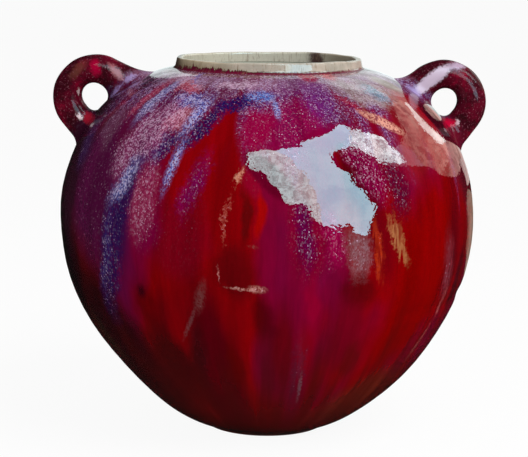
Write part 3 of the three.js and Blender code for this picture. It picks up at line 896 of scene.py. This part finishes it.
def flambe_colour(tree, place, painted):
    """The colour of the flambe glaze at a place on the wall, with the painted runs laid on in turn, some of
    them painted shade, reflections and glints, and with painted shade darkening the wall towards the foot.
    """
    flow, height = flow_place(tree, place)
    slow = tree.noise(tree.squashed(flow, 0.12), RUN_SCALE, 3, 0.55)
    streaks = tree.noise(tree.squashed(flow, 0.16), STREAK_SCALE, 2, 0.6)
    grains = tree.noise(tree.squashed(place, 0.7), GRAIN_SCALE, 2, 0.7)
    cells = tree.add("TexVoronoi", {"Vector": tree.squashed(place, 0.6), "Scale": CELL_SCALE}, "Color")
    salt = tree.plus(tree.times(tree.split(cells)[0], 0.6), tree.times(grains, 0.4))
    places = run_places(tree, place, flow, streaks)
    covers = {
        "streaks": tree.smooth(streaks, 0.36, 0.56, 0.25, 1.0),
        "grains": tree.smooth(salt, 0.3, 0.5, 0.55, 1.0),
        "mark": tree.smooth(salt, 0.3, 0.5, 0.2, 1.0),
    }

    ragged_height = tree.swayed(height, slow, WALL_SWAY)
    colour, milk = ground_colour(tree, flow, ragged_height, salt)
    bloom = tree.smooth(tree.swayed(height, slow, NECK_SWAY), *NECK_BLOOM, 0.0, 0.4)
    colour = tree.mix(bloom, colour, (172, 132, 160))
    line = tree.smooth(tree.swayed(height, streaks, COLLAR_SWAY), *COLLAR_LINE, 0.0, 0.9)
    colour = tree.mix(line, colour, (98, 16, 48))
    for run in painted:
        mask = run_mask(tree, run, places[run.grain])
        if run.grain in covers:
            mask = tree.times(mask, covers[run.grain])
        colour = tree.mix(mask, colour, run.colour)
        colour.node.label = run.name
        milk = tree.add("Mix", {0: mask, 2: milk, 3: run.milk}, 0, data_type="FLOAT")

    uneven = tree.times(tree.smooth(slow, 0.3, 0.7, 0.78, 1.06), tree.smooth(streaks, 0.3, 0.7, 0.93, 1.05))
    colour = tree.add("VectorMath", {0: colour, "Scale": uneven}, operation="SCALE")
    colour = with_flecks(tree, place, colour, milk, salt)
    # Painted shade: the wall darkens towards the foot.
    low = tree.smooth(ragged_height, *PAINTED_LOW_SHADE, 0.0, 0.85)
    return tree.mix(low, colour, (74, 12, 13))


def glaze_relief(tree, place):
    """The dimples of a thick glaze, which break up what it mirrors."""
    swells = tree.noise(place, 130, 2, 0.5)
    dimples = tree.noise(place, 640, 0)
    rough_parts = tree.smooth(tree.noise(place, 50, 1), 0.42, 0.58, 0.25, 0.8)
    return tree.plus(swells, tree.times(dimples, rough_parts))


def glossy(tree, colour, relief, roughness=0.3, coat=1.0, coat_roughness=0.02):
    """The shader of a fired glaze: a coloured layer under a clear one that relief dimples."""
    dimples = tree.add("Bump", {"Strength": 1.0, "Distance": GLAZE_RELIEF, "Height": relief})
    inputs = {
        "Base Color": colour,
        "Roughness": roughness,
        "IOR": 1.45,
        "Specular IOR Level": 0.0,
        "Coat Weight": coat,
        "Coat Roughness": coat_roughness,
        "Coat IOR": 1.55,
        "Coat Normal": dimples,
    }
    return tree.add("BsdfPrincipled", inputs)


def flambe_material():
    tree = new_tree("flambe_glaze")
    place = tree.place()
    return tree.finish(glossy(tree, flambe_colour(tree, place, RUNS), glaze_relief(tree, place)))


def handle_material():
    """The flambe glaze where it ran thin over the coils: maroon, with crimson where it pooled, and marks on
    top that include painted reflections and glints.
    """
    tree = new_tree("handle_glaze")
    place = tree.place()
    near_roots = [run for run in RUNS if abs(run.top[0]) > ROOT_AZIMUTH and run.top[1] > ROOT_HEIGHT]
    wall_colour = flambe_colour(tree, place, near_roots)
    pools = tree.noise(place, 70, 3, 0.6)
    colour = tree.mix(tree.smooth(pools, 0.42, 0.56), (56, 8, 20), (84, 8, 28))
    colour = tree.mix(tree.smooth(pools, 0.6, 0.7), colour, (116, 8, 36))
    mottle = tree.noise(place, 320, 3, 0.7)
    colour = tree.mix(tree.smooth(mottle, 0.52, 0.66, 0, 0.6), colour, (40, 12, 14))
    specks = tree.smooth(tree.noise(place, 800, 3, 0.7), 0.58, 0.7, 0, 0.5)
    colour = tree.mix(specks, colour, (180, 110, 130))
    lift = tree.add("Attribute", {}, "Fac", attribute_name="lift", attribute_type="GEOMETRY")
    off_wall = tree.smooth(tree.swayed(lift, pools, COIL_GLAZE_SWAY), *COIL_GLAZE_LIFT)
    colour = tree.mix(off_wall, wall_colour, colour)
    crumbled = shifted(tree, place, tree.noise(place, 420, 3, 0.75, output="Color"), HANDLE_EDGE)
    # Marks of crimson and brown glaze, and painted reflections and glints.
    for mark in MARKS:
        start, end = Vector(mark.start) * MM, Vector(mark.end) * MM
        half_width = mark.half_width * MM
        sizes = (half_width, 2 * half_width, mark.core, mark.strength)
        mask = streak_mask(tree, crumbled, start, end, TO_CAMERA, *sizes)
        colour = tree.mix(mask, colour, mark.colour)
        colour.node.label = mark.name
    relief = tree.times(glaze_relief(tree, place), 2.6)
    return tree.finish(glossy(tree, colour, relief, coat=0.2, coat_roughness=0.12))


def rim_material():
    """Pale celadon, breaking to iron brown under the lip and along the neck, most of all on the left. Its
    inside is painted paler to lift its shade, and darker to the right as painted shade.
    """
    tree = new_tree("rim_glaze")
    place = tree.place()
    flow, height = flow_place(tree, place)
    aside, away, _ = tree.axes(place)
    radius = tree.vector("LENGTH", tree.add("CombineXYZ", {0: aside, 1: away}), output="Value")
    outside = tree.smooth(radius, MOUTH_RADIUS + 0.5 * MM, MOUTH_RADIUS + 1.2 * MM)
    inside = tree.minus(0.8, tree.times(outside, 0.8))
    clouds = tree.noise(place, 60, 3, 0.6)
    mottle = tree.noise(place, 420, 3, 0.65)
    drips = tree.noise(tree.squashed(flow, 0.7), 170, 4, 0.7)
    fall = tree.smooth(aside, -5 * MM, -45 * MM, 3 * MM, 16 * MM)
    low = tree.minus(height, tree.times(tree.minus(drips, 0.42), fall))
    warm = tree.smooth(aside, -10 * MM, -50 * MM, 0, 0.6)
    # Painted shade inside the collar, growing towards the right.
    painted_inner_shade = tree.smooth(aside, 22 * MM, 50 * MM, 0, 0.85)

    colour = tree.mix(tree.smooth(clouds, 0.35, 0.65), (162, 155, 142), (190, 178, 164))
    colour = tree.mix(warm, colour, (172, 154, 116))
    # Painted light: the inside of the collar is made paler than the outside, to lift the shade it lies in.
    colour = tree.mix(inside, colour, (204, 204, 188))
    # Painted shade: the inside darkens towards the right.
    colour = tree.mix(tree.times(inside, painted_inner_shade), colour, (120, 98, 76))
    crumbled = shifted(tree, place, tree.noise(place, 300, 3, 0.7, output="Color"), SPLASH_EDGE)
    sizes = (SPLASH_HALF_WIDTH, SPLASH_DEPTH)
    splash = streak_mask(tree, crumbled, *SPLASH_ENDS, SPLASH_FACING, *sizes, core=0.3, strength=0.95)
    colour = tree.mix(splash, colour, (58, 20, 26))

    haze = tree.smooth(low, NECK_HEIGHT + 4.5 * MM, NECK_HEIGHT + 1.2 * MM, 0, 0.6)
    iron = tree.smooth(low, NECK_HEIGHT + 1.7 * MM, NECK_HEIGHT + 0.9 * MM)
    iron = tree.times(iron, tree.smooth(aside, -10 * MM, 30 * MM, 1, 0.6))
    root = tree.smooth(low, NECK_HEIGHT + 0.9 * MM, NECK_HEIGHT + 0.3 * MM, 0, 0.9)
    layers = [(tree.times(haze, warm), (118, 84, 56)), (iron, (70, 34, 32)), (root, (98, 12, 44))]
    for share, paint in layers:
        colour = tree.mix(tree.times(share, outside), colour, paint)
    brown = tree.smooth(tree.noise(tree.squashed(flow, 0.4), 380, 3, 0.65), 0.55, 0.67, 0, 0.55)
    colour = tree.mix(brown, colour, (122, 100, 78))
    left_end = tree.smooth(tree.plus(aside, tree.times(drips, 8 * MM)), -52 * MM, -57 * MM, 0, 0.8)
    colour = tree.mix(tree.times(left_end, outside), colour, (58, 34, 32))
    return tree.finish(glossy(tree, colour, mottle, 0.35, coat=0.6))


def inside_material():
    """The thin greenish glaze inside, with dark splashes under the lip."""
    tree = new_tree("inside_glaze")
    place = tree.place()
    clouds = tree.noise(place, 24, 4, 0.6)
    colour = tree.mix(tree.smooth(clouds, 0.4, 0.62), (172, 176, 160), (198, 198, 182))
    splash = tree.smooth(tree.noise(place, 55, 3, 0.7), 0.66, 0.7)
    colour = tree.mix(splash, colour, (80, 30, 34))
    grain = tree.noise(place, 500, 3, 0.6)
    return tree.finish(glossy(tree, colour, grain, 0.4))


def clay_material():
    """Bare iron-brown stoneware with sand in it."""
    tree = new_tree("bare_clay")
    place = tree.place()
    clouds = tree.noise(place, 90, 4, 0.65)
    colour = tree.mix(tree.smooth(clouds, 0.3, 0.7), (92, 30, 24), (126, 48, 38))
    sand = tree.noise(place, 900, 2, 0.7)
    colour = tree.mix(tree.smooth(sand, 0.58, 0.66, 0, 0.6), colour, (110, 84, 64))
    rough = tree.smooth(clouds, 0.3, 0.7, 0.7, 0.9)
    bump = tree.add("Bump", {"Strength": 0.7, "Distance": 0.2 * MM, "Height": sand})
    inputs = {"Base Color": colour, "Roughness": rough, "Normal": bump}
    return tree.finish(tree.add("BsdfPrincipled", inputs))


# The studio


def seen_rays(tree):
    """1 for rays from the camera and for those that gloss or glass sends on."""
    rays = tree.nodes.new("ShaderNodeLightPath").outputs
    seen = tree.math("MAXIMUM", rays["Is Camera Ray"], rays["Is Glossy Ray"])
    return tree.math("MAXIMUM", seen, rays["Is Transmission Ray"])


def make_floor():
    """Paper that keeps the vessel's shadow, and is nearly white to the rays that see it."""
    tree = new_tree("floor")
    paper = tree.add("BsdfDiffuse", {"Color": linear(*PAPER_COLOUR)})
    white = tree.add("Emission", {"Color": WHITE, "Strength": 1.0})
    share = tree.times(seen_rays(tree), FLOOR_GLOW)
    material = tree.finish(tree.add("MixShader", {0: share, 1: paper, 2: white}))
    half = FLOOR_SIZE / 2
    corners = [(-half, -half, 0), (half, -half, 0), (half, half, 0), (-half, half, 0)]
    make_mesh("floor", corners, [(0, 1, 2, 3)], material)


def make_world():
    """White to the rays that see it, and a dim fill to the rest."""
    world = bpy.data.worlds.new("studio")
    bpy.context.scene.world = world
    tree = Tree(world)
    fill = tree.add("Background", {"Color": WHITE, "Strength": FILL_STRENGTH})
    white = tree.add("Background", {"Color": WHITE, "Strength": 1.0})
    tree.finish(tree.add("MixShader", {0: seen_rays(tree), 1: fill, 2: white}), "World")


def towards(azimuth, elevation):
    a, e = math.radians(azimuth), math.radians(elevation)
    return Vector((math.sin(a) * math.cos(e), -math.cos(a) * math.cos(e), math.sin(e)))


def make_softbox(name, azimuth, elevation, distance, size, watts, colour):
    data = bpy.data.lights.new(name, "AREA")
    data.shape = "SQUARE"
    data.size = size
    data.energy = watts
    data.color = colour
    lamp = bpy.data.objects.new(name, data)
    direction = towards(azimuth, elevation)
    lamp.location = STUDIO_MIDDLE + direction * distance
    lamp.rotation_euler = direction.to_track_quat("Z", "Y").to_euler()
    bpy.context.scene.collection.objects.link(lamp)
    lamp.visible_glossy = False


def glow(name, dim, bright, scale):
    """A light that drifts between two radiances like cloud."""
    tree = new_tree(name)
    clouds = tree.noise(tree.place(), scale, 4, 0.75)
    colour = tree.mix(tree.smooth(clouds, 0.38, 0.62), (*dim, 1), (*bright, 1))
    return tree.finish(tree.add("Emission", {"Color": colour, "Strength": 1.0}))


def make_card(name, outline, material):
    """A flat card that only reflections see, up to the right of the camera, in metres on its plane."""
    out = towards(SKY_AZIMUTH, SKY_ELEVATION)
    right = towards(SKY_AZIMUTH + 90, 0)
    up = right.cross(-out)
    corners = [STUDIO_MIDDLE + out * SKY_DISTANCE + right * u + up * v for u, v in outline]
    only_reflections(make_mesh(name, corners, [tuple(range(len(corners)))], material, smooth=False))


def make_screen(name, centre, outline, distance, material):
    """A bent screen that only reflections see, with its outline in azimuths and elevations from centre."""
    middle = np.mean(outline, axis=0)
    rings = [[middle + (np.array(spot) - middle) * share for spot in outline] for share in (0.5, 1.0)]
    spots = [middle] + rings[0] + rings[1]
    vertices = [centre + towards(*spot) * distance for spot in spots]
    count = len(outline)
    faces = []
    for j, m in next_ones(count):
        faces.append((0, 1 + j, 1 + m))
        faces.append((1 + j, 1 + count + j, 1 + count + m, 1 + m))
    only_reflections(make_mesh(name, vertices, faces, material, smooth=False))


def make_dark_room():
    """Dark walls, roof and ground that only reflections see, as in the garden where the vessel stood."""
    tree = new_tree("dark_room")
    material = tree.finish(tree.add("Emission", {"Color": (*DARK_ROOM_COLOUR, 1), "Strength": 1.0}))
    foot_radius = RING_RADIUS - RING_BATTER - 0.1 * MM
    rings = [(foot_radius, ROOM_GROUND), (ROOM_RADIUS, ROOM_GROUND)]
    rings += [(ROOM_RADIUS, ROOM_EAVES), (0.01, ROOM_TOP)]
    vertices = []
    for radius, height in rings:
        for j in range(ROOM_STEPS):
            a = 2 * math.pi * j / ROOM_STEPS
            vertices.append((radius * math.cos(a), radius * math.sin(a), height))
    faces = []
    for k in range(len(rings) - 1):
        a = k * ROOM_STEPS
        b = a + ROOM_STEPS
        faces += [(a + j, a + m, b + m, b + j) for j, m in next_ones(ROOM_STEPS)]
    only_reflections(make_mesh("dark_room", vertices, faces, material, smooth=False))


def only_reflections(card):
    for rays in ("camera", "diffuse", "shadow", "transmission", "volume_scatter"):
        setattr(card, "visible_" + rays, False)


# What the photograph's glaze mirrors. Cards have their outlines in metres, screens in degrees.
SKY = [(-0.55, 0.50), (-0.24, 0.42), (0.04, 0.49), (0.39, 0.66), (0.46, 0.60), (0.25, 0.25), (0.01, 0.18)]
SKY += [(-0.07, 0.04), (0.13, -0.38), (0.32, -0.63), (0.19, -0.97), (-0.05, -0.83), (-0.40, -0.81)]
SKY += [(-0.40, -0.30), (-0.44, 0.10)]
CLOUD = [(0.46, 0.60), (0.76, 0.38), (0.98, -0.06), (0.50, -0.05), (0.25, 0.25)]
HAZE = [(-1.04, 0.45), (-0.95, 0.67), (-0.69, 0.63), (-0.55, 0.50), (-0.44, 0.10), (-0.40, -0.30)]
HAZE += [(-0.40, -0.81), (-0.62, -0.40), (-0.79, -0.42), (-0.90, 0.10)]
PALE_WALL = [(153, 23), (150, 33), (145, 36), (138, 38), (126, 38.3), (117.5, 35.5), (106, 36), (106, 18)]
PALE_WALL += [(117, 10.5), (130, 9), (141, 10)]
ROSE_WALL = [(106, 36), (90, 37), (77, 31), (92, 25), (106, 18)]
RUSTY_WALL = [(117, 10.5), (132, 3.5), (141, 2), (152, 1), (160, -2), (163, 8), (153, 23), (141, 10)]
RUSTY_WALL += [(130, 9)]
WHITE_DOOR = [(149.5, 28), (152.5, 18), (152, 12), (144, 11.5), (138.5, 13.5), (134.5, 17.5)]
WHITE_DOOR += [(133.5, 23.5), (139, 28.5)]
TAN_GROUND = [(146, -3), (152, -1.5), (172, -6), (180, -12), (165, -17), (148, -14)]
SKY_BEHIND = [(149, 32), (151, 24), (160, 8), (163, -3), (166, -12), (188, -12), (190, 5), (192.3, 9)]
SKY_BEHIND += [(195, 16), (196, 21), (196, 25), (191, 27), (178, 24), (172, 30), (168, 42), (158, 45)]
SKY_BEHIND += [(150, 41)]
DULL_WALL = [(168, -7), (170, 26), (160, 37), (148, 35), (139, 34), (146, 10), (152, -4)]
RIGHT_SHOULDER = Vector((0.10, -0.07, 0.20))
RIGHT_FLANK = Vector((0.13, -0.05, 0.15))
NECK_FRONT = Vector((0, -0.05, 0.24))

# Each with its least and most radiance and the scale of its clouds. A screen has the place that it is seen
# from and its distance before them.
CARDS = [
    ("sky", SKY, (4.2, 8.6, 10.8), (5.6, 10.2, 12.0), 2.5),
    ("cloud", CLOUD, (2.6, 4.2, 4.6), (11.0, 14.0, 14.4), 12),
    ("haze", HAZE, (3.0, 5.2, 5.2), (7.2, 10.6, 10.8), 14),
]
SCREENS = [
    ("pale_wall", RIGHT_SHOULDER, PALE_WALL, 1.5, (0.6, 0.5, 0.44), (2.1, 1.45, 1.2), 9),
    ("dull_wall", RIGHT_SHOULDER, DULL_WALL, 1.7, (0.6, 0.45, 0.42), (1.1, 0.85, 0.8), 4),
    ("rusty_wall", RIGHT_SHOULDER, RUSTY_WALL, 1.5, (0.5, 0.3, 0.25), (1.4, 0.85, 0.75), 4),
    ("rose_wall", RIGHT_SHOULDER, ROSE_WALL, 1.5, (0.9, 0.65, 0.85), (1.6, 1.2, 1.4), 3),
    ("white_door", RIGHT_SHOULDER, WHITE_DOOR, 1.4, (3.0, 3.3, 3.1), (4.4, 4.9, 4.7), 3),
    ("tan_ground", RIGHT_FLANK, TAN_GROUND, 0.5, (0.20, 0.18, 0.13), (0.42, 0.38, 0.30), 12),
    ("sky_behind", NECK_FRONT, SKY_BEHIND, 1.6, (0.6, 0.72, 0.7), (1.2, 1.35, 1.35), 6),
]


def make_lights():
    make_softbox("key_light", 48, 45, distance=1.6, size=1.1, watts=23, colour=(1, 0.98, 0.96))
    make_softbox("fill_light", -30, 30, distance=2.2, size=1.4, watts=7, colour=(0.96, 0.98, 1))


def make_surroundings():
    for name, outline, *light in CARDS:
        make_card(name + "_card", outline, glow(name, *light))
    for name, centre, outline, distance, *light in SCREENS:
        make_screen(name, centre, outline, distance, glow(name, *light))
    make_dark_room()


make_camera()
bpy.context.scene.view_settings.view_transform = "Standard"
make_world()
make_floor()
make_lights()
make_surroundings()
make_body(flambe_material(), inside_material())
make_collar(rim_material())
make_foot_ring(clay_material())
handle_glaze = handle_material()
right_loop = Loop(RIGHT_HANDLE_RISE, RIGHT_HANDLE_REACH)
make_handle("right_loop", "right_handle", right_loop, RIGHT_NECK_SIDE_FILLET, 1, handle_glaze)
left_loop = Loop(LEFT_HANDLE_RISE, LEFT_HANDLE_REACH)
make_handle("left_loop", "left_handle", left_loop, LEFT_NECK_SIDE_FILLET, -1, handle_glaze)
